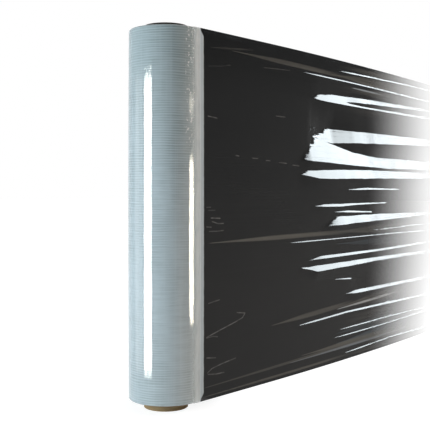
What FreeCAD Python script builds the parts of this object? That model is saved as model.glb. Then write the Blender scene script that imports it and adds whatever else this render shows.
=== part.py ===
import FreeCAD, Part
import Sketcher
import math
import os

# A roll of stretch wrap that stands on the end of its cardboard core, with a length of film pulled off it.
# Z runs up the core, and Z = 0 is the foot of the core. The film leaves the roll at the front, where Y is
# lowest, and runs towards +X. All sizes are in millimetres.

SIZES = (
    ("core_bore", 50, "inner diameter of the cardboard core"),
    ("core_wall", 5, "thickness of the cardboard"),
    ("core_foot", 11.5, "how far the core stands out below the film"),
    ("core_head", 6, "how far the core stands out above the film"),
    ("film_width", 500, "width of the film, along the core"),
    ("roll_diameter", 102.4, "diameter over the wound film"),
    ("film_gauge", 0.25, "thickness of the pulled length, many times the real film's"),
    ("web_length", 710, "pulled length, from where it leaves the roll to its cut edge"),
    ("web_flat", 150, "the stretch of it beside the roll that is still flat"),
    ("web_gather", 11, "how far each side has drawn in at the cut edge"),
    ("fold_count", 12, "lengthwise folds at the cut edge"),
    ("fold_depth", 2.8, "greatest height of a fold there"),
    ("band_count", 3, "sunk bands of turns in each end of the roll"),
    ("band_width", 2.4, "radial width of a sunk band"),
    ("band_relief", 0.6, "depth of the deepest sunk band"),
)
BORE_RADIUS = "Sizes.core_bore / 2"
CORE_RADIUS = "(Sizes.core_bore / 2 + Sizes.core_wall)"
ROLL_RADIUS = "Sizes.roll_diameter / 2"
FILM_FOOT = "Sizes.core_foot"
FILM_HEAD = "(Sizes.core_foot + Sizes.film_width)"
CORE_LENGTH = "Sizes.core_foot + Sizes.film_width + Sizes.core_head"

# The folds are one wave along the cut edge. Its spacing drifts by a share of a fold, and its height swells
# between full and a share less, each so many times over the width, so that no two folds are alike.
SPACING_DRIFT = 0.35
DRIFTS = 1.4
HEIGHT_LOSS = 0.76
SWELLS = 2.3
FIRST_SWELL = 0.15
POINTS_PER_FOLD = 6
LOFT_SPANS = 3

ORIGIN = FreeCAD.Vector(0, 0, 0)
UP = FreeCAD.Vector(0, 0, 1)

doc = FreeCAD.newDocument("stretch_wrap_roll")


def make_sizes():
    sheet = doc.addObject("Spreadsheet::Sheet", "Sizes")
    for row, (alias, number, note) in enumerate(SIZES, start=1):
        sheet.set(f"A{row}", note)
        sheet.set(f"B{row}", str(number))
        sheet.setAlias(f"B{row}", alias)
    doc.recompute()


def value(expression):
    """What an expression on the sheet comes to."""
    return float(doc.Sizes.evalExpression(expression))


def add_sketch(body, name, plane_role, offset=None):
    """A sketch on one of the body's origin planes, moved off the plane by an expression."""
    plane = next(f for f in body.Origin.OriginFeatures if f.Role == plane_role)
    sketch = body.newObject("Sketcher::SketchObject", name)
    sketch.AttachmentSupport = [(plane, "")]
    sketch.MapMode = "FlatFace"
    if offset:
        sketch.setExpression("AttachmentOffset.Base.z", offset)
    return sketch


def add_rules(sketch, *rules):
    sketch.addConstraint([Sketcher.Constraint(*rule) for rule in rules])


def bind(sketch, name, expression, kind, *places):
    """Adds a measure to the sketch and ties it to the sheet."""
    index = sketch.addConstraint(Sketcher.Constraint(kind, *places, value(expression)))
    sketch.renameConstraint(index, name)
    sketch.setExpression(f"Constraints.{name}", expression)


def add_circle(sketch, name, radius):
    circle = sketch.addGeometry(Part.Circle(ORIGIN, UP, value(radius)))
    add_rules(sketch, ("Coincident", circle, 3, -1, 1))
    bind(sketch, name, radius, "Radius", circle)


def add_outline(sketch, corners):
    """Straight lines from corner to corner, the last back to the first, joined at their ends."""
    points = [FreeCAD.Vector(x, y, 0) for x, y in corners]
    lines = sketch.addGeometry([Part.LineSegment(a, b) for a, b in zip(points, points[1:] + points[:1])])
    pairs = zip(lines, lines[1:] + lines[:1])
    add_rules(sketch, *(("Coincident", line, 2, after, 1) for line, after in pairs))
    return lines


def add_rectangle(sketch, name, left, low, width, tall):
    x, y = value(left), value(low)
    far, high = x + value(width), y + value(tall)
    bottom, right, top, near = add_outline(sketch, ((x, y), (far, y), (far, high), (x, high)))
    add_rules(sketch, ("Horizontal", bottom), ("Vertical", right), ("Horizontal", top), ("Vertical", near))
    bind(sketch, f"{name}_left", left, "DistanceX", -1, 1, bottom, 1)
    bind(sketch, f"{name}_low", low, "DistanceY", -1, 1, bottom, 1)
    bind(sketch, f"{name}_width", width, "DistanceX", bottom, 1, bottom, 2)
    bind(sketch, f"{name}_tall", tall, "DistanceY", right, 1, right, 2)


def make_core():
    """The cardboard tube that the film is wound on."""
    body = doc.addObject("PartDesign::Body", "Core")
    body.Label = "core"
    section = add_sketch(body, "CoreSection", "XY_Plane")
    add_circle(section, "bore", BORE_RADIUS)
    add_circle(section, "outside", CORE_RADIUS)
    tube = body.newObject("PartDesign::Pad", "CoreTube")
    tube.Profile = section
    tube.setExpression("Length", CORE_LENGTH)
    return body


def add_roll_outline(sketch):
    """The roll from above: its round outside, which runs out into the flat start of the pulled length."""
    radius = value(ROLL_RADIUS)
    flat = value("Sizes.web_flat")
    inner_face = radius - value("Sizes.film_gauge")
    lift_off = math.asin(inner_face / radius)
    arc = sketch.addGeometry(Part.ArcOfCircle(Part.Circle(ORIGIN, UP, radius), -lift_off, 1.5 * math.pi))
    corners = ((0, -radius), (flat, -radius), (flat, -inner_face), (radius * math.cos(lift_off), -inner_face))
    points = [FreeCAD.Vector(x, y, 0) for x, y in corners]
    front, cut, back = sketch.addGeometry([Part.LineSegment(a, b) for a, b in zip(points, points[1:])])
    add_rules(
        sketch,
        ("Coincident", arc, 3, -1, 1),
        ("Coincident", arc, 2, front, 1),
        ("Coincident", front, 2, cut, 1),
        ("Coincident", cut, 2, back, 1),
        ("Coincident", back, 2, arc, 1),
        ("Horizontal", front),
        ("Vertical", cut),
        ("Horizontal", back),
        ("PointOnObject", arc, 2, -2),
    )
    bind(sketch, "roll_radius", ROLL_RADIUS, "Radius", arc)
    bind(sketch, "flat_reach", "Sizes.web_flat", "DistanceX", -1, 1, front, 2)
    bind(sketch, "gauge", "Sizes.film_gauge", "DistanceY", cut, 1, cut, 2)


def add_end_bands(sketch):
    """Rings of turns that lie lower than their neighbours, evenly spaced from the core to the outside."""
    count = round(value("Sizes.band_count"))
    for number in range(1, count + 1):
        share = number / (count + 1)
        left = f"{CORE_RADIUS} * {1 - share} + {ROLL_RADIUS} * {share} - Sizes.band_width / 2"
        depth = f"Sizes.band_relief * {number / count}"
        add_rectangle(sketch, f"foot{number}", left, FILM_FOOT, "Sizes.band_width", depth)
        add_rectangle(sketch, f"head{number}", left, f"{FILM_HEAD} - {depth}", "Sizes.band_width", depth)


def fold_height(share):
    """Height of the folds at the cut edge, where share runs up it from 0 to 1. They die out at both sides."""
    turn = 2 * math.pi
    fade = math.sin(math.pi * share) ** 0.5
    swell = 1 - HEIGHT_LOSS * (1 - math.sin(turn * (SWELLS * share + FIRST_SWELL))) / 2
    drift = SPACING_DRIFT * math.sin(turn * DRIFTS * share)
    wave = math.sin(turn * (round(value("Sizes.fold_count")) * share + drift))
    return value("Sizes.fold_depth") * fade * swell * wave


def add_web_section(sketch, growth):
    """The pulled length seen end on, where the folds and the gather have grown to this share of the most."""
    front = -value(ROLL_RADIUS)
    back = front + value("Sizes.film_gauge")
    gather = growth * value("Sizes.web_gather")
    low = value(FILM_FOOT) + gather
    tall = value("Sizes.film_width") - 2 * gather
    steps = POINTS_PER_FOLD * round(value("Sizes.fold_count"))
    shares = [step / steps for step in range(steps + 1)]
    wave = [(-growth * fold_height(share), low + tall * share) for share in shares]
    up_the_front = [(front + height, level) for height, level in wave]
    down_the_back = [(back + height, level) for height, level in reversed(wave)]
    add_outline(sketch, up_the_front + down_the_back)


def make_film():
    """The film in one piece: the wound turns, the flat start of the pulled length, and its folded rest."""
    body = doc.addObject("PartDesign::Body", "StretchFilm")
    body.Label = "stretch_film"

    roll_outline = add_sketch(body, "RollOutline", "XY_Plane", FILM_FOOT)
    add_roll_outline(roll_outline)
    add_circle(roll_outline, "core_fit", CORE_RADIUS)
    turns = body.newObject("PartDesign::Pad", "Turns")
    turns.Profile = roll_outline
    turns.setExpression("Length", "Sizes.film_width")

    band_section = add_sketch(body, "BandSection", "XZ_Plane")
    add_end_bands(band_section)
    bands = body.newObject("PartDesign::Groove", "EndBands")
    bands.Profile = band_section
    bands.ReferenceAxis = (band_section, ["V_Axis"])
    bands.Angle = 360
    doc.recompute()
    if bands.Shape.Volume >= turns.Shape.Volume:
        raise RuntimeError("the sunk bands cut nothing")

    sections = []
    for number in range(LOFT_SPANS + 1):
        share = number / LOFT_SPANS
        place = f"Sizes.web_flat * {1 - share} + Sizes.web_length * {share}"
        section = add_sketch(body, f"WebSection{number}", "YZ_Plane", place)
        add_web_section(section, share**2)
        sections.append(section)
    web = body.newObject("PartDesign::AdditiveLoft", "FoldedWeb")
    web.Profile = sections[0]
    web.Sections = sections[1:]
    web.Ruled = True
    body.Tip = web
    return body


def check(pieces):
    doc.recompute()
    failed = [o.Name for o in doc.Objects if "Invalid" in o.State or "Error" in o.State]
    if failed:
        raise RuntimeError(f"these objects failed: {failed}")
    for piece in pieces:
        if piece.Shape.isNull() or not piece.Shape.isValid() or len(piece.Shape.Solids) != 1:
            raise RuntimeError(f"{piece.Label} is not one valid solid")


def export(pieces):
    os.makedirs("parts", exist_ok=True)
    for piece in pieces:
        piece.Shape.exportStep(f"parts/{piece.Label}.step")
        print(piece.Label, round(piece.Shape.Volume), "mm3")


make_sizes()
built = [make_core(), make_film()]
check(built)
export(built)
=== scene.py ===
import math

import bmesh
import bpy
from mathutils import Euler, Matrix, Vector, noise


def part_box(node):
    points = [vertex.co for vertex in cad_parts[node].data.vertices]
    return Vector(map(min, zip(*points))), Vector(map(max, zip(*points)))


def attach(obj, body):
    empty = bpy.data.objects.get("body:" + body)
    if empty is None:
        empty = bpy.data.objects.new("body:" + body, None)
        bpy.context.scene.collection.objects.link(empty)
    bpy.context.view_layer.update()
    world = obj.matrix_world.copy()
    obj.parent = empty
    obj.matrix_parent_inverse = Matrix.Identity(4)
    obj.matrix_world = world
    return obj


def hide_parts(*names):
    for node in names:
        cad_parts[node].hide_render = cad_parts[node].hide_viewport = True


# A roll of stretch wrap that stands on the end of its cardboard core, with a length of the film pulled
# off it. Everything is in metres. Z runs up the core, and the film is pulled off towards +X in the plane
# Y = -radius.

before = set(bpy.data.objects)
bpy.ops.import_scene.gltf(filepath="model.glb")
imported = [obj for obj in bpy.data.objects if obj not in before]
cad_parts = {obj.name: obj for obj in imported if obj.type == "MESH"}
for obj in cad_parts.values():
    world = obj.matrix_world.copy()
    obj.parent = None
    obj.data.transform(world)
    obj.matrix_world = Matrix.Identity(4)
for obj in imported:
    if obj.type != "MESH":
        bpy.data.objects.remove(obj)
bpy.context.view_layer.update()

camera = {
    "place": (-0.8321, -0.7919, 0.2902),
    "forward": (0.7632, 0.6461, 0.0),
    "lens": 70.4,
    "sensor": 36,
    "shiftUp": -0.0504,
    "imageSize": 430,  # the photograph's side, in pixels
}

coreLow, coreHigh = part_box("core")
filmLow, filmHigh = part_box("stretch_film")

core = {
    "bore": 0.025,
    "outside": coreHigh.x,
    "foot": coreLow.z,
    "head": coreHigh.z,
    "rimBevel": 0.0006,
    "levels": 40,
    "ringSteps": 96,
    "climb": 0.11,  # how far one strip of board climbs in a turn
    "boardShades": ((0.33, 0.21, 0.095, 1), (0.49, 0.33, 0.165, 1)),  # it varies between these two
    "blotchShade": (0.39, 0.26, 0.13, 1),
    "plyShade": (0.2, 0.145, 0.085, 1),
    "seamShade": (0.17, 0.12, 0.07, 1),
    # painted shadow on the core's outer side above the roll's head
    "headShadowShade": (0.022, 0.016, 0.011, 1),
    # painted contact shadow on the core under the roll's foot
    "shadedShade": (0.06, 0.045, 0.03, 1),
}

roll = {
    "radius": filmHigh.y,
    "foot": filmLow.z,
    "head": filmHigh.z,
    "endLoss": 0.0005,  # how much thinner it is at its ends than halfway up
    "rimRound": 0.0032,
    "ringWave": 1900.0,  # ring ridges, in radians a metre
    "ridge": 0.00002,  # their height, and that of the finer and the broader unevenness between them
    "fine": 0.000002,
    "middling": 0.000005,
    "sway": 0.00013,  # how far the side wanders in and out round the roll
    "rows": 620,
    "ringSteps": 96,
    "bands": ((0.0353, 0.0002), (0.0406, 0.0004), (0.0459, 0.0006)),  # sunk turns: where, how deep
    "bandWidth": 0.0024,
    "turnRelief": 0.00008,  # how uneven the ends are from turn to turn
    "endRings": 34,
    "filmShades": ((0.545, 0.6, 0.61, 1), (0.605, 0.66, 0.67, 1)),  # it varies between these two
    "ringShade": (0.25, 0.3, 0.295, 1),
    "lineShades": ((0.7, 0.77, 0.79, 1), (0.36, 0.42, 0.42, 1)),
    "cloudShade": (0.62, 0.68, 0.69, 1),
    "turnShade": (0.3, 0.37, 0.39, 1),
    "barShade": (0.72, 0.76, 0.77, 1),
    # painted shade towards the roll's head
    "paintedHeadShade": (0.24, 0.3, 0.29, 1),
    "footShade": (0.78, 0.82, 0.82, 1),
    # painted glints where the film leaves the roll
    "glintSpeckShade": (0.95, 0.95, 0.93, 1),
}

web = {
    "length": filmHigh.x,
    "flat": 0.15,  # the stretch of it beside the roll that is still flat
    "gather": 0.011,  # how far each side has drawn in at the cut edge
    "start": -0.008,  # it is modelled from where it still lies on the roll
    "columns": ((0.03, 20), (0.2, 12), (0.71, 112)),  # up to here, in so many steps
    "flankRow": 0.0009,  # height of a row of faces in the bright flanks, and in the gaps between them
    "gapRow": 0.0065,
    "gauge": 0.00012,
    "steepest": 0.3,  # slope of the flanks in between
    "anchor": 0.9,  # a flank's foot stands out by this share of its depth, and its head is back by the rest
    "slowRipple": 0.0005,
    "quickRipple": 0.00007,
    "crumple": 0.00022,
    "measureAt": 0.46,  # how far from the roll the flanks' widths are measured
    "orderAt": 0.42,  # where the flanks are put in order
    "planAt": 0.4,  # where the rows between them are counted
    "restAt": 0.3,  # where the rows of the flat stretch have their heights from
    "clearStrip": 0.0195,  # width of the strip beside the roll that the roll shows through
    "fade": (0.442, 0.742),  # where it grows clear
}
webShades = {
    "dark": (0.0105, 0.011, 0.0112, 1),
    "cloud": (0.018, 0.0185, 0.0185, 1),
    "hair": (0.028, 0.029, 0.029, 1),
    # lighter towards the foot: painted reflection of the floor
    "foot": (0.036, 0.036, 0.035, 1),
    # darker towards the head: painted shade
    "head": (0.0045, 0.005, 0.005, 1),
    "streak": (0.12, 0.118, 0.108, 1),
    "crease": (0.19, 0.188, 0.18, 1),
    "edge": (0.002, 0.002, 0.0025, 1),
    "clear": (0.95, 1, 1, 1),
    "dull": (0.56, 0.63, 0.66, 1),
    "mottled": (0.6, 0.67, 0.7, 1),
    # painted glints on the clear strip
    "glint": (1, 1, 0.97, 1),
}

# The light box that the folds show to the camera: a wall of light along X, in front and high up
lightBox = {"y": -3.1, "low": 1.66, "high": 2.44, "left": 2.5, "right": 14.0}

# Folds that catch the light box, from the head of the web down: each flank's upper and lower edge, as
# the photograph shows it, from pixel to pixel.
brightFlanks = {
    "headHair": {
        "upper": ((340, 70.4), (430, 90.2)),
        "lower": ((340, 71.8), (430, 91.4)),
    },
    "headLine": {
        "upper": ((304, 71.6), (430, 101.6)),
        "lower": ((304, 73), (430, 103)),
    },
    "highPatch": {
        "upper": ((322, 93.1), (430, 110.4)),
        "lower": ((316, 101), (345, 102.1), (367, 104.5), (430, 112.6)),
    },
    "highPatchFoot": {
        "upper": ((316, 96.4), (334, 100.4), (345, 102.5), (367, 107.2), (430, 117.6)),
        "lower": ((314, 100.5), (430, 121)),
    },
    "broadPatch": {
        "upper": ((335, 128.4), (376, 133.6), (430, 139.8)),
        "lower": ((318, 144), (360, 143.8), (430, 146.6)),
    },
    "broadPatchFoot": {
        "upper": ((321, 139), (337, 144.6), (354, 152), (376, 157.1), (430, 161.8)),
        "lower": ((302, 160.8), (354, 166), (390, 169.2), (430, 170.6)),
    },
    "middlePatch": {
        "upper": ((309, 170.2), (356, 169.4), (430, 173)),
        "lower": ((301, 174.6), (319, 179.2), (430, 179.3)),
    },
    "middleHair": {
        "upper": ((347, 188.9), (368, 187.4), (396, 188.6)),
        "lower": ((347, 190.6), (368, 189.9), (396, 190)),
    },
    "raggedLine": {
        "upper": ((322, 204), (384, 202)),
        "lower": ((310, 207.4), (340, 207.2), (356, 205.2), (384, 203.4)),
    },
    "thinLine": {
        "upper": ((333, 211.4), (347, 210), (369, 210.9)),
        "lower": ((333, 212.8), (369, 212.7)),
    },
    "lowPatch": {
        "upper": ((338, 216.2), (376, 213.6), (430, 212)),
        "lower": ((325, 227.4), (347, 224.3), (390, 219.3), (430, 214.4)),
    },
    "faintLine": {
        "upper": ((373, 229.6), (430, 222.4)),
        "lower": ((373, 230.6), (430, 223.6)),
    },
    "lineUnderIt": {
        "upper": ((288, 242.4), (430, 229)),
        "lower": ((290, 243.6), (376, 235.2), (430, 230.6)),
    },
    "tailI": {
        "upper": ((313, 258.6), (321, 255.6), (376, 248.8), (430, 240.4)),
        "lower": ((306, 261.4), (376, 251.6), (430, 242.6)),
    },
    "tailJ": {
        "upper": ((300, 267.4), (376, 256.6), (430, 249.2)),
        "lower": ((302, 269), (316, 272.2), (376, 260.8), (430, 252.2)),
    },
    "shortK": {
        "upper": ((333, 278.7), (349, 277.6)),
        "lower": ((333, 280.2), (349, 279.2)),
    },
    "tailL": {
        "upper": ((352, 290.2), (430, 274.2)),
        "lower": ((343, 295.4), (353, 293.8), (430, 277.2)),
    },
    "tailM": {
        "upper": ((296, 325.4), (347, 310.6), (390, 300.4), (430, 292)),
        "lower": ((298, 326.6), (347, 312.6), (430, 294)),
    },
    "tailN": {
        "upper": ((338, 329.4), (390, 314.8), (430, 304.8)),
        "lower": ((338, 330.6), (390, 316.2), (430, 306.4)),
    },
    "tailO": {
        "upper": ((333, 337.6), (390, 321), (430, 308)),
        "lower": ((333, 338.8), (390, 322.3), (430, 309.4)),
    },
    "footHair": {
        "upper": ((343, 352.8), (390, 335.8), (430, 324)),
        "lower": ((343, 354.2), (390, 337.2), (430, 325.6)),
    },
}

# Bands painted into the dark film: lighter milky bands, a painted bluish sheen and painted highlights
# (the bright and pale ones): the line along each, its half width and its strength.
filmBands = {
    "headThread": {"way": ((209, 47.2), (249, 49.8)), "half": 0.0008, "strength": 0.4, "shade": "milky"},
    "headBand": {"way": ((230, 50.2), (345, 77)), "half": 0.0032, "strength": 0.85, "shade": "milky"},
    "headTail": {"way": ((330, 74), (430, 96)), "half": 0.009, "strength": 0.7, "shade": "milky"},
    "shortWisp": {"way": ((351, 87.6), (380, 94.4)), "half": 0.0009, "strength": 1.0, "shade": "pale"},
    "middleBand": {"way": ((207, 243.4), (352, 231)), "half": 0.0032, "strength": 1.0, "shade": "milky"},
    "middleTail": {"way": ((330, 232.5), (430, 224)), "half": 0.007, "strength": 0.6, "shade": "milky"},
    "middleShine": {"way": ((335, 244), (430, 237)), "half": 0.006, "strength": 0.4, "shade": "bluish"},
    "lowBand": {"way": ((270, 326), (352, 302)), "half": 0.0036, "strength": 0.9, "shade": "milky"},
    "lowTail": {"way": ((335, 308), (430, 281)), "half": 0.009, "strength": 0.6, "shade": "milky"},
    "lowWedge": {"way": ((336, 309.6), (398, 291)), "half": 0.0016, "strength": 1.0, "shade": "bright"},
    "lowShine": {"way": ((335, 334), (430, 304)), "half": 0.012, "strength": 0.4, "shade": "bluish"},
    "footShine": {"way": ((335, 344), (430, 314)), "half": 0.008, "strength": 1.0, "shade": "bluish"},
    "footGlow": {"way": ((288, 363.5), (430, 318)), "half": 0.0022, "strength": 0.9, "shade": "pale"},
    "footThread": {"way": ((203, 388.5), (360, 339.5)), "half": 0.0016, "strength": 0.9, "shade": "milky"},
    "footTail": {"way": ((300, 356), (430, 316)), "half": 0.005, "strength": 1.0, "shade": "milky"},
    "footBand": {"way": ((203, 397.5), (352, 352.5)), "half": 0.0013, "strength": 1.0, "shade": "milky"},
}
# bluish is a painted sheen, bright and pale are painted highlights
bandShades = {
    "milky": (0.12, 0.116, 0.102, 1),
    "bluish": (0.085, 0.11, 0.13, 1),
    "bright": (0.5, 0.53, 0.54, 1),
    "pale": (0.3, 0.34, 0.37, 1),
}

# Creases in the film close to the roll, each from pixel to pixel, with how light it is.
creaseMarks = {
    "longCurl": {
        "way": ((206.5, 337.4), (222, 329), (236, 321.5), (242.5, 317.5), (245, 313), (237, 312.5)),
        "light": 0.9,
    },
    "curlRoot": {"way": ((206.5, 338), (213, 336.4), (217.5, 336.6)), "light": 0.8},
    "shortRise": {"way": ((208.5, 303.5), (213.5, 301.6), (219.5, 299.8)), "light": 0.6},
    "footDash": {"way": ((206.5, 358), (215.5, 357.8)), "light": 0.9},
    "footRise": {"way": ((207.5, 373), (212, 368.5), (222, 363.5), (235.5, 358)), "light": 0.9},
    "footFork": {"way": ((208, 374.4), (216, 374), (224, 372.3)), "light": 0.8},
    "dashA": {"way": ((206.5, 207.4), (210.5, 207.2)), "light": 0.6},
    "dashB": {"way": ((208, 210.4), (215, 210.2)), "light": 0.3},
    "dashC": {"way": ((211, 218), (220, 218.3)), "light": 1.0},
    "dashD": {"way": ((212, 221.6), (218, 223.6), (223.5, 223.4)), "light": 0.8},
    "dashE": {"way": ((206.5, 227), (211, 227.2)), "light": 0.8},
    "dashF": {"way": ((209, 231.4), (217, 231.2), (223.5, 230.4)), "light": 0.6},
    "headDash": {"way": ((208, 116), (217, 118.2)), "light": 0.7},
    "farDash": {"way": ((276, 116), (285, 117.2)), "light": 0.5},
    "headScuff": {"way": ((209, 66), (222, 66.2), (230, 65)), "light": 0.15},
    "bandScuff": {"way": ((264, 67.5), (290, 70.5)), "light": 0.3},
    "speckA": {"way": ((236, 155.5), (239, 156)), "light": 0.7},
    "speckB": {"way": ((252, 158), (258, 158.6)), "light": 0.5},
    "speckC": {"way": ((266, 160.5), (270, 161)), "light": 0.7},
    "speckD": {"way": ((279, 162.5), (287, 163.5)), "light": 0.6},
    "speckE": {"way": ((293, 165), (299, 166)), "light": 0.7},
}


class Sum:
    # one value in a material, with the signs of arithmetic adding its Math nodes
    def __init__(self, maker, socket):
        self.maker = maker
        self.socket = socket

    def __add__(self, other):
        return self.maker.maths("ADD", self, other)

    def __radd__(self, other):
        return self.maker.maths("ADD", other, self)

    def __sub__(self, other):
        return self.maker.maths("SUBTRACT", self, other)

    def __rsub__(self, other):
        return self.maker.maths("SUBTRACT", other, self)

    def __mul__(self, other):
        return self.maker.maths("MULTIPLY", self, other)

    def __rmul__(self, other):
        return self.maker.maths("MULTIPLY", other, self)

    def __truediv__(self, other):
        return self.maker.maths("DIVIDE", self, other)

    def __rtruediv__(self, other):
        return self.maker.maths("DIVIDE", other, self)

    def clamped(self):
        return self.maker.maths("ADD", self, 0.0, clamp=True)


class Finish:
    # a material and the few ways that its nodes are made
    def __init__(self, name, tree=None):
        if tree is None:
            self.material = bpy.data.materials.new(name)
            self.material.use_nodes = True
            tree = self.material.node_tree
        self.tree = tree
        self.tree.nodes.clear()

    def plug(self, socket, value):
        if isinstance(value, Sum):
            self.tree.links.new(value.socket, socket)
        else:
            socket.default_value = value

    def node(self, kind, settings=(), sockets=(), output=0):
        made = self.tree.nodes.new("ShaderNode" + kind)
        for name, setting in dict(settings).items():
            setattr(made, name, setting)
        for name, value in dict(sockets).items():
            self.plug(made.inputs[name], value)
        return Sum(self, made.outputs[output])

    def maths(self, operation, *values, clamp=False):
        return self.node("Math", {"operation": operation, "use_clamp": clamp}, enumerate(values))

    def ramp(self, value, low, high):
        # 0 below low and 1 above high, with a smooth step between them
        settings = {"interpolation_type": "SMOOTHSTEP"}
        return self.node("MapRange", settings, {"Value": value, "From Min": low, "From Max": high})

    def mix(self, share, first, second):
        sockets = {"Factor": share, "A": first, "B": second}
        made = self.tree.nodes.new("ShaderNodeMix")
        made.data_type = "RGBA"
        for name, value in sockets.items():
            kind = "VALUE" if name == "Factor" else "RGBA"
            self.plug(next(s for s in made.inputs if s.name == name and s.type == kind), value)
        return Sum(self, next(s for s in made.outputs if s.type == "RGBA"))

    def parts(self, vector):
        return [self.node("SeparateXYZ", (), {"Vector": vector}, axis) for axis in range(3)]

    def gather(self, x, y, z):
        return self.node("CombineXYZ", (), {"X": x, "Y": y, "Z": z})

    def between(self, place, start, end):
        # how far a place is from the straight line between two spots
        across = Vector((end[0] - start[0], end[1] - start[1], 0))
        off = self.vector("SUBTRACT", place, (*start, 0))
        share = self.vector("DOT_PRODUCT", off, across / across.length_squared)
        nearest = self.node("VectorMath", {"operation": "SCALE"}, {0: tuple(across), 3: share.clamped()})
        return self.vector("DISTANCE", off, nearest)

    def vector(self, operation, first, second):
        output = 1 if operation in ("DOT_PRODUCT", "DISTANCE") else 0
        return self.node("VectorMath", {"operation": operation}, {0: first, 1: second}, output)

    def grain(self, place, detail=2.0, roughness=0.5):
        sockets = {"Vector": place, "Scale": 1.0, "Detail": detail, "Roughness": roughness}
        return self.node("TexNoise", (), sockets)

    def finish(self, shader):
        made = self.tree.nodes.new("ShaderNodeOutputMaterial")
        self.tree.links.new(shader.socket, made.inputs["Surface"])
        return self.material


def smooth(low, high, value):
    share = min(max((value - low) / (high - low), 0.0), 1.0)
    return share * share * (3 - 2 * share)


def addPiece(name, mesh, finishes, body=None, replaced=()):
    data = bpy.data.meshes.new(name)
    mesh.to_mesh(data)
    mesh.free()
    piece = bpy.data.objects.new(name, data)
    bpy.context.scene.collection.objects.link(piece)
    for material in finishes:
        data.materials.append(material)
    data.polygons.foreach_set("use_smooth", [True] * len(data.polygons))
    if body:
        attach(piece, body)
        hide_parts(*replaced)
    return piece


def spinOutline(points, steps):
    # a closed ring of points in the XZ plane, turned once round the core's axis
    mesh = bmesh.new()
    ring = [mesh.verts.new((x, 0, z)) for x, z in points]
    edges = [mesh.edges.new(pair) for pair in zip(ring, ring[1:] + ring[:1])]
    bmesh.ops.spin(
        mesh, geom=ring + edges, cent=(0, 0, 0), axis=(0, 0, 1), angle=2 * math.pi,
        steps=steps, use_merge=True, use_duplicate=False,
    )
    bmesh.ops.remove_doubles(mesh, verts=mesh.verts, dist=1e-7)
    bmesh.ops.recalc_face_normals(mesh, faces=mesh.faces)
    return mesh


# The camera, and where a pixel of the photograph falls on the web

def makeCamera():
    data = bpy.data.cameras.new("photoCamera")
    data.lens = camera["lens"]
    data.sensor_width = camera["sensor"]
    data.shift_y = camera["shiftUp"]
    data.clip_end = 100
    made = bpy.data.objects.new("photoCamera", data)
    made.location = camera["place"]
    turn = -math.asin(camera["forward"][0])
    made.rotation_euler = Euler((math.pi / 2, 0, turn))
    bpy.context.scene.collection.objects.link(made)
    bpy.context.scene.camera = made


def webSpot(pixel):
    # how far from the roll, and which share of the way up the web, a pixel of the photograph is
    forward = Vector(camera["forward"])
    right = forward.cross(Vector((0, 0, 1)))
    size = camera["imageSize"]
    reach = camera["lens"] / camera["sensor"] * size
    across = (pixel[0] - size / 2) / reach
    up = (size / 2 + camera["shiftUp"] * size - pixel[1]) / reach
    ray = forward + right * across + Vector((0, 0, up))
    place = Vector(camera["place"])
    spot = place + ray * ((-roll["radius"] - place.y) / ray.y)
    drawn = gatherAt(spot.x)
    return spot.x, (spot.z - roll["foot"] - drawn) / (roll["head"] - roll["foot"] - 2 * drawn)


def gatherAt(s):
    return web["gather"] * (max(s - web["flat"], 0) / (web["length"] - web["flat"])) ** 2


makeCamera()


# The core: a spirally wound cardboard tube

def makeCardboard():
    made = Finish("cardboard")
    place = made.node("TexCoord", output=3)
    x, y, z = made.parts(place)
    turn = made.maths("ARCTAN2", y, x) * (0.5 / math.pi)
    reach = made.node("VectorMath", {"operation": "LENGTH"}, {0: made.gather(x, y, 0.0)}, 1)
    climb = z / core["climb"] - turn
    seamSide = made.maths("FRACT", climb)
    seam = made.ramp(made.maths("ABSOLUTE", seamSide - 0.5), 0.495, 0.499)
    fibres = made.grain(made.gather(turn * 90.0, reach * 900.0, z * 900.0), 4.0, 0.6)
    blotches = made.grain(made.gather(turn * 9.0, reach * 60.0, z * 40.0), 3.0, 0.55)
    plies = made.node("TexWave", {"wave_type": "BANDS", "bands_direction": "X"}, {
        "Vector": made.gather(reach, turn * 0.003, 0.0), "Scale": 640.0, "Distortion": 1.2,
    })
    board = made.mix(fibres, *core["boardShades"])
    board = made.mix(blotches * 0.5, board, core["blotchShade"])
    halfway = (core["foot"] + core["head"]) / 2
    rim = (core["head"] - core["foot"]) / 2
    onRim = made.ramp(made.maths("ABSOLUTE", z - halfway), rim - 0.0004, rim - 0.0001)
    board = made.mix(onRim * plies * 0.45, board, core["plyShade"])
    board = made.mix(seam * (1 - onRim) * 0.6, board, core["seamShade"])
    # painted shade: the core's outer side above the roll is painted dark, where it sits in shadow
    headShadow = made.ramp(z, roll["head"] + 0.0004, roll["head"] + 0.001) * made.ramp(reach, 0.0285, 0.0293)
    board = made.mix(headShadow, board, core["headShadowShade"])
    # painted contact shadow: darker just under the roll's foot
    shaded = made.ramp(z, roll["foot"] - 0.008, roll["foot"] - 0.001)
    shaded = shaded * made.ramp(z, roll["foot"] + 0.004, roll["foot"])
    board = made.mix(shaded * 0.6, board, core["shadedShade"])
    height = fibres * 0.4 + plies * onRim * 0.8 - seam * 1.2
    bump = made.node("Bump", (), {"Height": height, "Strength": 0.5, "Distance": 0.0003})
    skin = made.node("BsdfPrincipled", (), {
        "Base Color": board, "Roughness": 0.78 + fibres * 0.15, "Normal": bump, "Specular IOR Level": 0.35,
    })
    return made.finish(skin)


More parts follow.
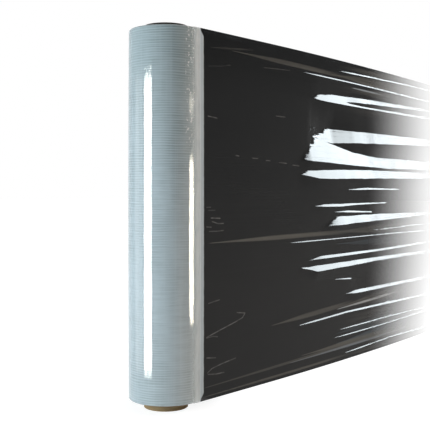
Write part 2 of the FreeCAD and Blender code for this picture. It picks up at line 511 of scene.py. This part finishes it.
def makeCore():
    inside, outside = core["bore"], core["outside"]
    low, high, cut = core["foot"], core["head"], core["rimBevel"]
    count = core["levels"]
    levels = [low + (high - low) * step / count for step in range(1, count)]
    points = [(outside - cut, low), (outside, low + cut)] + [(outside, z) for z in levels]
    points += [(outside, high - cut), (outside - cut, high), (inside + cut, high), (inside, high - cut)]
    points += [(inside, z) for z in reversed(levels)] + [(inside, low + cut), (inside + cut, low)]
    mesh = spinOutline(points, core["ringSteps"])
    addPiece("core_tube", mesh, [makeCardboard()], "root", ["core"])


makeCore()
print("core made")


# The wound film

def rollRadius(z):
    share = (z - roll["foot"]) / (roll["head"] - roll["foot"])
    barrel = 1 - (2 * share - 1) ** 2
    return roll["radius"] - roll["endLoss"] * (1 - 1.6 * barrel)


def ringRelief(z):
    # the outermost turns don't lie quite level: fine ridges every few millimetres, stronger in places
    fine = noise.noise(Vector((z * 520, 1.7, 0.3)))
    middling = noise.noise(Vector((z * 190, 6.1, 2.2)))
    strength = 0.5 + 0.5 * noise.noise(Vector((z * 11, 3.3, 8.1)))
    ridge = math.sin(z * roll["ringWave"] + 2 * noise.noise(Vector((z * 40, 4.4, 2.9))))
    relief = roll["fine"] * fine * (0.5 + strength) + roll["middling"] * middling
    return relief + roll["ridge"] * ridge * (0.6 + 0.8 * strength)


def makeRollFilm():
    made = Finish("woundFilm")
    place = made.node("TexCoord", output=3)
    x, y, z = made.parts(place)
    turn = made.maths("ARCTAN2", y, x)
    reach = made.node("VectorMath", {"operation": "LENGTH"}, {0: made.gather(x, y, 0.0)}, 1)
    onSide = made.ramp(reach, 0.0475, 0.049)
    level = made.gather(turn * 1.3, 0.0, z * 430.0)
    lines = made.grain(level, 4.0, 0.65)
    wander = made.grain(made.gather(x * 14.0, y * 14.0, z * 55.0), 2.0, 0.5)
    rings = made.maths("SINE", z * roll["ringWave"] + wander * 9.0) * 0.5 + 0.5
    patchy = made.ramp(made.grain(made.gather(x * 30.0, y * 30.0, z * 13.0 + 3.0), 2.0, 0.5), 0.38, 0.62)
    ringed = (patchy * 0.45 + made.ramp(z, 0.26, 0.36) * 0.55 + made.ramp(z, 0.09, 0.05) * 0.4).clamped()
    broad = made.grain(made.gather(turn * 1.1, 4.0, z * 60.0), 3.0, 0.6)
    cloud = made.grain(made.gather(x * 22.0, y * 22.0, z * 9.0), 3.0, 0.5)
    bars = made.grain(made.gather(x * 420.0, y * 420.0, z * 3.0), 2.0, 0.5)
    speck = made.grain(made.gather(x * 330.0, y * 330.0, z * 240.0), 2.0, 0.5)
    turns = made.grain(made.gather(reach * 2400.0, turn * 1.5, 9.0), 3.0, 0.6)
    pale = made.mix(broad, *roll["filmShades"])
    pale = made.mix(rings * ringed * onSide * 0.75, pale, roll["ringShade"])
    pale = made.mix(made.ramp(lines, 0.42, 0.7) * onSide * 0.35, pale, roll["lineShades"][0])
    pale = made.mix(made.ramp(lines, 0.5, 0.3) * onSide * 0.3, pale, roll["lineShades"][1])
    pale = made.mix(made.ramp(cloud, 0.45, 0.75) * 0.35, pale, roll["cloudShade"])
    pale = made.mix(made.ramp(turns, 0.4, 0.7) * (1 - onSide) * 0.5, pale, roll["turnShade"])
    pale = made.mix(made.ramp(bars, 0.5, 0.75) * onSide * 0.22, pale, roll["barShade"])
    # painted shade: the wound film is darker towards its head
    pale = made.mix(made.ramp(z, 0.3, 0.5) * 0.3, pale, roll["paintedHeadShade"])
    pale = made.mix(made.ramp(z, 0.25, 0.05) * 0.15, pale, roll["footShade"])
    # painted glints: light specks where the film leaves the roll, also raised a little in the bump
    leaving = made.ramp(made.maths("ABSOLUTE", turn + 1.7), 0.22, 0.1) * made.ramp(z, 0.27, 0.4)
    glintSpecks = made.ramp(speck, 0.6, 0.66) * leaving * onSide
    pale = made.mix(glintSpecks, pale, roll["glintSpeckShade"])
    height = (lines * 0.003 + rings * (0.4 + ringed * 0.6)) * onSide + turns * (1 - onSide) * 1.4 + glintSpecks
    bump = made.node("Bump", (), {"Height": height, "Strength": 1.0, "Distance": 0.00005})
    skin = made.node("BsdfPrincipled", (), {
        "Base Color": pale,
        "Roughness": 0.04 + lines * 0.02,
        "Specular IOR Level": 0.32,
        "Normal": bump,
    })
    return made.finish(skin)


def makeRoll():
    inside = core["outside"]
    low, high, cut = roll["foot"], roll["head"], roll["rimRound"]
    side = []
    for row in range(roll["rows"] + 1):
        z = low + cut + (high - low - 2 * cut) * row / roll["rows"]
        calm = smooth(low, low + 0.006, z) * smooth(high, high - 0.006, z)
        side.append((rollRadius(z) + ringRelief(z) * calm, z))
    headRim = side[-1][0]
    footRim = side[0][0]
    turns = [step / 5 * math.pi / 2 for step in range(1, 6)]
    headBend = [(headRim - cut + cut * math.cos(t), high - cut + cut * math.sin(t)) for t in turns]
    footBend = [(footRim - cut + cut * math.cos(t), low + cut - cut * math.sin(t)) for t in reversed(turns)]
    count = roll["endRings"]
    ends = [headRim - cut - (headRim - cut - inside) * step / count for step in range(1, count + 1)]
    wide, narrow = roll["bandWidth"] * 0.75, roll["bandWidth"] * 0.4
    across = []
    for x in ends:
        sunk = sum(depth * smooth(wide, narrow, abs(x - middle)) for middle, depth in roll["bands"])
        across.append((x, sunk + roll["turnRelief"] * (1 + noise.noise(Vector((x * 900, 2, 5))))))
    headFace = [(x, high - sunk) for x, sunk in across]
    footFace = [(x, low + sunk) for x, sunk in reversed(across)]
    mesh = spinOutline(side + headBend + headFace + footFace + footBend, roll["ringSteps"])
    for vert in mesh.verts:
        angle = math.atan2(vert.co.y, vert.co.x)
        wave = noise.noise(Vector((math.cos(angle) * 2.2, math.sin(angle) * 2.2, vert.co.z * 34)))
        reach = math.hypot(vert.co.x, vert.co.y)
        lean = smooth(0.045, 0.05, reach) * roll["sway"] * wave
        vert.co.x *= 1 + lean / reach
        vert.co.y *= 1 + lean / reach
    addPiece("film_turns", mesh, [makeRollFilm()], "root", ["stretch_film"])


makeRoll()
print("wound film made")


# The pulled length

def bend(pixels):
    # a line on the web from pixel to pixel: how far from the roll, and how far up, each bend is
    return [webSpot(pixel) for pixel in pixels]


def bendAt(way, s):
    place = 0
    while place < len(way) - 2 and s > way[place + 1][0]:
        place += 1
    (s0, f0), (s1, f1) = way[place : place + 2]
    return f0 + (f1 - f0) * (s - s0) / (s1 - s0)


def makeSpans():
    # the bright flanks from the foot up, each with rows of faces for its width
    spans = []
    for number, edge in enumerate(brightFlanks.values()):
        span = {"lower": bend(edge["lower"]), "upper": bend(edge["upper"]), "number": number}
        wide = bendAt(span["upper"], web["measureAt"]) - bendAt(span["lower"], web["measureAt"])
        wide = max(wide, 0)
        wide *= roll["head"] - roll["foot"]
        span["rows"] = max(4, round(wide / web["flankRow"]))
        span["broad"] = smooth(0.005, 0.01, wide)
        spans.append(span)
    return sorted(spans, key=lambda span: bendAt(span["lower"], web["orderAt"]))


flankSpans = makeSpans()


def edgesAt(s):
    # where the flanks start and end on the way up, and the web's own two sides; no edge goes under the last
    edges = [0.0]
    for span in flankSpans:
        middle = (bendAt(span["lower"], s) + bendAt(span["upper"], s)) / 2
        start = min(span["lower"][0][0], span["upper"][0][0])
        grown = max(smooth(start - 0.01, start + 0.05, s), span["broad"], 0.15)
        for side, way in enumerate((span["lower"], span["upper"])):
            torn = noise.noise(Vector((s * 40, span["number"] * 7.3, side + 0.5)))
            edge = middle + (bendAt(way, s) - middle) * grown + (0.0002 + 0.0012 * span["broad"]) * torn
            edges.append(max(edge, edges[-1] + 0.0001))
    return edges + [1.0]


def makeRowPlan():
    # which flank, or none, each group of rows belongs to, and how many rows it has
    middle = edgesAt(web["planAt"])
    plan = []
    for place, span in enumerate(flankSpans + [None]):
        gap = (middle[2 * place + 1] - middle[2 * place]) * (roll["head"] - roll["foot"])
        plan.append((None, 2 + max(1, round(gap / web["gapRow"]))))
        if span:
            plan.append((span, span["rows"]))
    return plan


rowPlan = makeRowPlan()


def boxLean(z):
    # how far a flank this high up is turned up, to show the middle of the light box to the camera
    toBox = math.atan2((lightBox["low"] + lightBox["high"]) / 2 - z, -roll["radius"] - lightBox["y"])
    fromCamera = math.atan2(z - camera["place"][2], -roll["radius"] - camera["place"][1])
    return (toBox - fromCamera) / 2


def flankLean(span, s, across, share):
    # the slope of a flank, where across runs from 0 at its lower edge to 1 at its upper. Its ends are
    # torn to hairs.
    hair = (0.003 + 0.012 * span["broad"]) * noise.noise(Vector((share * 800, s * 40, 3.1)))
    start = span["lower"][0][0] + (span["upper"][0][0] - span["lower"][0][0]) * across
    end = span["lower"][-1][0] + (span["upper"][-1][0] - span["lower"][-1][0]) * across
    present = smooth(start - 0.005 - 0.015 * span["broad"], start + 0.006, s + hair)
    drawn = gatherAt(s)
    lean = boxLean(roll["foot"] + drawn + (roll["head"] - roll["foot"] - 2 * drawn) * share)
    lean += 0.01 * noise.noise(Vector((share * 300, s * 9, 8.2)))
    return -math.tan(lean * present * smooth(end + 0.03, end, s + hair))


def flankRises(span, s, foot, head, width):
    # how far each row of a flank leads outwards, from its foot up
    rows = span["rows"]
    rises = []
    for row in range(rows):
        middle = (row + 0.5) / rows
        lean = flankLean(span, s, middle, foot + (head - foot) * middle)
        rises.append(lean * (head - foot) / rows * width)
    return rises


def webColumn(s):
    # the web this far from the roll, from foot to head: how far up each place is, and how far it stands out
    width = roll["head"] - roll["foot"] - 2 * gatherAt(s)
    folded = smooth(0.04, 0.2, s)
    edges = [rest + (now - rest) * folded for rest, now in zip(edgesAt(web["restAt"]), edgesAt(s))]
    shares, levels = [0.0], [0.0]
    for place, (span, count) in enumerate(rowPlan):
        foot, head = edges[place], edges[place + 1]
        if span:
            rises = flankRises(span, s, foot, head, width)
            steps = [foot + (head - foot) * (row + 1) / count for row in range(count)]
            levels += [levels[-1] + sum(rises[: row + 1]) for row in range(count)]
        else:  # on its way to where the next flank starts. Narrow rows at both ends keep the edges crisp.
            after = rowPlan[place + 1][0] if place + 1 < len(rowPlan) else None
            drop = -sum(flankRises(after, s, head, edges[place + 2], width)) if after else 0.0
            goal = drop * web["anchor"]
            most = web["steepest"] * (head - foot) * width
            lean = min(max(goal - levels[-1], -most), most) / (head - foot)
            if 0 < place < len(rowPlan) - 1:  # where two small flanks run into one, it leans as they do
                shut = smooth(0.003, 0.0004, (head - foot) * width) * smooth(0.006, 0.003, drop)
                lean += (flankLean(after, s, 0.0, head) * width - lean) * shut
            rim = min(0.0005, (head - foot) * 0.2)
            inner = head - foot - 2 * rim
            steps = [foot + rim + inner * row / (count - 2) for row in range(count - 1)] + [head]
            start = levels[-1]
            levels += [start + lean * (step - foot) for step in steps]
        shares += steps
    return shares, levels


def ripple(s, share):
    # loose waviness that grows away from the roll, and the crumples where the film leaves it
    grown = smooth(0.02, 0.5, s)
    slow = noise.noise(Vector((s * 2.5, share * 16, 0.4)))
    quick = noise.noise(Vector((s * 5.0, share * 55, 7.4)))
    near = smooth(0.016, 0.004, s) * smooth(0.5, 0.9, abs(share - 0.42) * 1.9 + 0.12)
    crumple = noise.noise(Vector((s * 240, share * 130, 2.6)))
    loose = web["slowRipple"] * slow + web["quickRipple"] * quick
    return grown * loose + near * web["crumple"] * crumple


def webColumns():
    # closer together where the film leaves the roll and where the folds start
    places = [web["start"]]
    for end, count in web["columns"]:
        start = places[-1]
        places += [start + (end - start) * step / count for step in range(1, count + 1)]
    return places


def bandMask(made, along, up, band):
    # 1 along the middle of a band, and 0 past its edges and before its start
    (s0, f0), (s1, f1) = webSpot(band["way"][0]), webSpot(band["way"][1])
    width = roll["head"] - roll["foot"]
    rise = (f1 - f0) / (s1 - s0) * width
    off = made.maths("ABSOLUTE", up - (f0 * width + (along - s0) * rise))
    grown = made.ramp(along, s0, s0 + (s1 - s0) * 0.45)
    gone = made.ramp(along, s1 + 0.02, s0 + (s1 - s0) * 0.7)
    across = made.ramp(off / (0.0006 + grown * band["half"]), 1.2, 0.5)
    return across * made.ramp(along, s0, s0 + 0.012) * gone * band["strength"]


def markMask(made, way, mark):
    # how light a crease is, which runs from spot to spot
    spots = [webSpot(pixel) for pixel in mark["way"]]
    spots = [(s, share * (roll["head"] - roll["foot"])) for s, share in spots]
    off = [made.between(way, start, end) for start, end in zip(spots, spots[1:])]
    nearest = off[0]
    for other in off[1:]:
        nearest = made.maths("MINIMUM", nearest, other)
    return made.ramp(nearest, 0.0011, 0.0003) * mark["light"]


def makeWebFilm():
    made = Finish("pulledFilm")
    way = made.node("UVMap", {"uv_map": "filmWay"})
    along, up, unused = made.parts(way)
    hairs = made.grain(made.gather(along * 4.0, up * 700.0, 1.0), 3.0, 0.6)
    strands = made.grain(made.gather(along * 3.0, up * 120.0, 5.0), 3.0, 0.55)
    cloud = made.grain(made.gather(along * 6.0, up * 14.0, 8.0), 2.0, 0.5)
    smudge = made.grain(made.gather(along * 90.0, up * 160.0, 2.0), 2.0, 0.6)
    edge = made.maths("ABSOLUTE", up - 0.25)
    uneven = 0.6 + made.ramp(strands, 0.3, 0.7) * 0.4
    marks = sum(markMask(made, way, mark) for mark in creaseMarks.values())
    marks = marks * (0.45 + made.ramp(smudge, 0.35, 0.65) * 0.55)
    dark = made.mix(made.ramp(cloud, 0.35, 0.8) * 0.5, webShades["dark"], webShades["cloud"])
    dark = made.mix(made.ramp(hairs, 0.5, 0.8) * 0.3, dark, webShades["hair"])
    # painted reflection and shade: lighter towards the foot, where the film shows the floor, and darker
    # towards its head
    dark = made.mix(made.ramp(up, 0.33, 0.12) * 0.45, dark, webShades["foot"])
    dark = made.mix(made.ramp(up, 0.28, 0.45) * 0.8, dark, webShades["head"])
    streaks = made.ramp(strands, 0.42, 0.62) * made.ramp(along, 0.34, 0.52) * made.ramp(edge, 0.14, 0.22)
    dark = made.mix(streaks * 0.75, dark, webShades["streak"])
    # paints the bands into the film's colour, a painted sheen and painted highlights among them
    for band in filmBands.values():
        dark = made.mix(bandMask(made, along, up, band) * uneven, dark, bandShades[band["shade"]])
    dark = made.mix(marks.clamped(), dark, webShades["crease"])
    dark = made.mix(made.ramp(edge, 0.2475, 0.2495), dark, webShades["edge"])
    leave = web["clearStrip"] - made.ramp(edge, 0.238, 0.249) * 0.006
    wavy = made.grain(made.gather(0.0, up * 60.0, 3.0)) * 0.0012
    clear = made.ramp(along + wavy, leave + 0.0012, leave - 0.0006)
    dull = made.ramp(along, 0.0095, 0.0145) * made.ramp(along, 0.0205, 0.018)
    film = made.mix(dull, webShades["clear"], webShades["dull"])
    mottled = made.grain(made.gather(along * 180.0, up * 45.0, 6.0), 3.0, 0.6)
    film = made.mix(made.ramp(mottled, 0.46, 0.68) * 0.4, film, webShades["mottled"])
    # painted glints: light specks on the clear strip, towards the web's head
    glint = made.grain(made.gather(along * 420.0, up * 260.0, 4.0), 2.0, 0.5)
    glints = made.ramp(glint, 0.6, 0.66) * made.ramp(up, 0.3, 0.47) * made.ramp(along, 0.012, 0.006)
    film = made.mix(glints, film, webShades["glint"])
    shade = made.mix(clear, dark, film)
    fade = made.ramp(along, *web["fade"])
    haze = made.ramp(along, -0.007, 0.007) * 0.85 + made.ramp(along, 0.009, 0.014) * 0.22  # what it hides
    seen = (1 - fade) * (1 - clear * (1 - haze))
    layer = 1 - made.maths("POWER", 1 - seen, 0.5)  # its front and its back hide that much together
    height = hairs * 0.4 + strands * 0.6
    bump = made.node("Bump", (), {"Height": height, "Strength": 0.4, "Distance": 0.0003})
    skin = made.node("BsdfPrincipled", (), {
        "Base Color": shade,
        "Roughness": 0.045 + hairs * 0.03,
        "Specular IOR Level": 0.28,
        "Alpha": layer,
        "Normal": bump,
    })
    return made.finish(skin)


def makeWeb():
    places = webColumns()
    rows = sum(count for span, count in rowPlan)
    mesh = bmesh.new()
    bmesh.ops.create_grid(mesh, x_segments=len(places) - 1, y_segments=rows, size=0.5)
    layer = mesh.loops.layers.uv.new("filmWay")
    columns = [webColumn(s) for s in places]
    bench = {}
    for vert in mesh.verts:
        column = round((vert.co.x + 0.5) * (len(places) - 1))
        row = round((vert.co.y + 0.5) * rows)
        s = places[column]
        share = columns[column][0][row]
        bench[vert] = (s, share)
        drawn = gatherAt(s)
        z = roll["foot"] + drawn + (roll["head"] - roll["foot"] - 2 * drawn) * share
        out = columns[column][1][row] + ripple(s, share)
        hug = rollRadius(z) + 0.00015
        face = math.sqrt(hug**2 - s**2) if s < 0 else hug + (roll["radius"] - hug) * smooth(0, 0.06, s)
        vert.co = (s, -face - out, z)
    for face in mesh.faces:
        for loop in face.loops:
            s, share = bench[loop.vert]
            loop[layer].uv = (s, share * (roll["head"] - roll["foot"]))
    bmesh.ops.recalc_face_normals(mesh, faces=mesh.faces)
    print("web of", len(places) - 1, "columns and", rows, "rows")
    piece = addPiece("film_web", mesh, [makeWebFilm()], "root", ["stretch_film"])
    skin = piece.modifiers.new("gauge", "SOLIDIFY")
    skin.thickness = web["gauge"]
    skin.offset = 0


makeWeb()
print("pulled film made")


# The floor, the backdrop and the lights

studio = {
    "ambient": 0.075,
    "ambientShade": (1.0, 0.94, 0.88, 1),
    "floorSize": 60.0,
    "floorShare": 0.75,  # how much of the floor's white doesn't need the lamps
    "nearLoss": 0.1,  # and how much less that is round the roll, where its shadow shows
    "floorWhite": 1.36,
    "lampsAim": (0, 0, 0.25),
}

lamps = {
    "keyLamp": {"place": (-1.73, 0.48, 0.5), "size": 1.1, "power": 26.8, "shade": (0.79, 0.95, 1.05)},
    "backLamp": {"place": (0.5, 1.9, 0.8), "size": 1.4, "power": 7, "shade": (0.6, 0.85, 1.1)},
    "sideLamp": {"place": (1.55, -1.26, 1.0), "size": 0.8, "power": 26, "shade": (1, 0.92, 0.86)},
}

# Upright cards that show in the gloss: the strips of light on the roll, the light box that the folds show,
# and the dark that the rest of the film shows.
cards = {
    "leftGlow": {
        "start": (-0.18, 0.06), "end": (-0.1204, 0.1423), "low": 0.02, "high": 0.47,
        "strength": 3.5, "shade": (1, 1, 1, 1), "fade": None,
    },
    "leftStrip": {
        "start": (-0.2011, -0.0177), "end": (-0.1818, 0.0555), "low": 0.021, "high": 0.466,
        "strength": 40, "shade": (1, 1, 0.94, 1), "fade": None,
    },
    "rightStrip0": {
        "start": (0.0636, -0.1803), "end": (0.1041, -0.1572), "low": 0.099, "high": 0.337,
        "strength": 50, "shade": (1, 0.92, 0.76, 1), "fade": None,
    },
    "rightStrip1": {
        "start": (0.0636, -0.1803), "end": (0.1041, -0.1572), "low": 0.414, "high": 0.436,
        "strength": 12, "shade": (1, 0.92, 0.76, 1), "fade": None,
    },
    "webBox": {
        "start": (lightBox["left"], lightBox["y"]), "end": (lightBox["right"], lightBox["y"]),
        "low": lightBox["low"], "high": lightBox["high"],
        "strength": 16.5, "shade": (0.88, 0.96, 1, 1), "fade": None,
    },
    "darkCard": {
        "start": (-2.0, -3.2), "end": (16.0, -3.2), "low": -0.5, "high": 6.0,
        "strength": 0.43, "shade": (1, 1, 1, 1), "fade": (2, 0.95, 1.7, 0.14),
    },
}

# The dark goes on below: a card that lies just above the floor.
darkFloor = {"left": 0.06, "right": 16.0, "near": -3.2, "far": -0.06, "level": 0.003, "strength": 0.43}


def seenDirectly(made):
    path = made.tree.nodes.new("ShaderNodeLightPath")
    rays = [Sum(made, path.outputs[f"Is {kind} Ray"]) for kind in ("Camera", "Glossy", "Transmission")]
    return made.maths("ADD", rays[0] + rays[1], rays[2], clamp=True)


def makeWorld():
    world = bpy.data.worlds.new("studio")
    world.use_nodes = True
    bpy.context.scene.world = world
    made = Finish("studio", world.node_tree)
    dim = made.node("Background", (), {"Color": studio["ambientShade"], "Strength": studio["ambient"]})
    white = made.node("Background", (), {"Color": (1, 1, 1, 1), "Strength": 1.0})
    both = made.node("MixShader", (), {0: seenDirectly(made), 1: dim, 2: white})
    out = made.tree.nodes.new("ShaderNodeOutputWorld")
    made.tree.links.new(both.socket, out.inputs["Surface"])


def makeFloor():
    made = Finish("floor")
    x, y, z = made.parts(made.node("TexCoord", output=3))
    away = made.node("VectorMath", {"operation": "LENGTH"}, {0: made.gather(x, y, 0.0)}, 1)
    paint = made.node("BsdfDiffuse", (), {"Color": (0.8, 0.8, 0.8, 1)})
    glow = made.node("Emission", (), {"Color": (1, 1, 1, 1), "Strength": studio["floorWhite"]})
    share = seenDirectly(made) * (studio["floorShare"] - made.ramp(away, 0.12, 0.05) * studio["nearLoss"])
    both = made.node("MixShader", (), {0: share, 1: paint, 2: glow})
    mesh = bmesh.new()
    bmesh.ops.create_grid(mesh, x_segments=1, y_segments=1, size=studio["floorSize"] / 2)
    floor = addPiece("floor", mesh, [made.finish(both)])


def makeCard(name, corners, strength, shade=(1, 1, 1, 1), fade=None):
    # a sheet of light, or a dark one, that only shows in gloss. It can fade along an axis, from one place
    # to another, to a last strength.
    made = Finish(name)
    glow = made.node("Emission", (), {"Color": shade, "Strength": strength})
    if fade:
        axis, start, end, last = fade
        place = made.parts(made.node("TexCoord", output=3))[axis]
        other = made.node("Emission", (), {"Color": shade, "Strength": last})
        glow = made.node("MixShader", (), {0: made.ramp(place, start, end), 1: glow, 2: other})
    mesh = bmesh.new()
    mesh.faces.new([mesh.verts.new(corner) for corner in corners])
    card = addPiece(name, mesh, [made.finish(glow)])
    card.visible_camera = False
    card.visible_diffuse = False
    card.visible_transmission = False
    card.visible_shadow = False


def standing(start, end, low, high):
    # the corners of an upright card from one spot on the floor to another
    return [(*start, low), (*end, low), (*end, high), (*start, high)]


def lying(card):
    left, right, near, far = card["left"], card["right"], card["near"], card["far"]
    return [(*spot, card["level"]) for spot in ((left, far), (left, near), (right, near), (right, far))]


def makeLamp(name, place, size, power, shade):
    data = bpy.data.lights.new(name, "AREA")
    data.shape = "SQUARE"
    data.size = size
    data.energy = power
    data.color = shade
    lamp = bpy.data.objects.new(name, data)
    lamp.location = place
    aim = Vector(studio["lampsAim"]) - Vector(place)
    lamp.rotation_euler = aim.to_track_quat("-Z", "Y").to_euler()
    lamp.visible_glossy = False
    bpy.context.scene.collection.objects.link(lamp)


makeWorld()
makeFloor()
for name, lamp in lamps.items():
    makeLamp(name, **lamp)
for name, card in cards.items():
    upright = standing(card["start"], card["end"], card["low"], card["high"])
    makeCard(name, upright, card["strength"], card["shade"], card["fade"])
makeCard("darkFloorCard", lying(darkFloor), darkFloor["strength"])
print("studio made")

scene = bpy.context.scene
scene.view_settings.view_transform = "Standard"
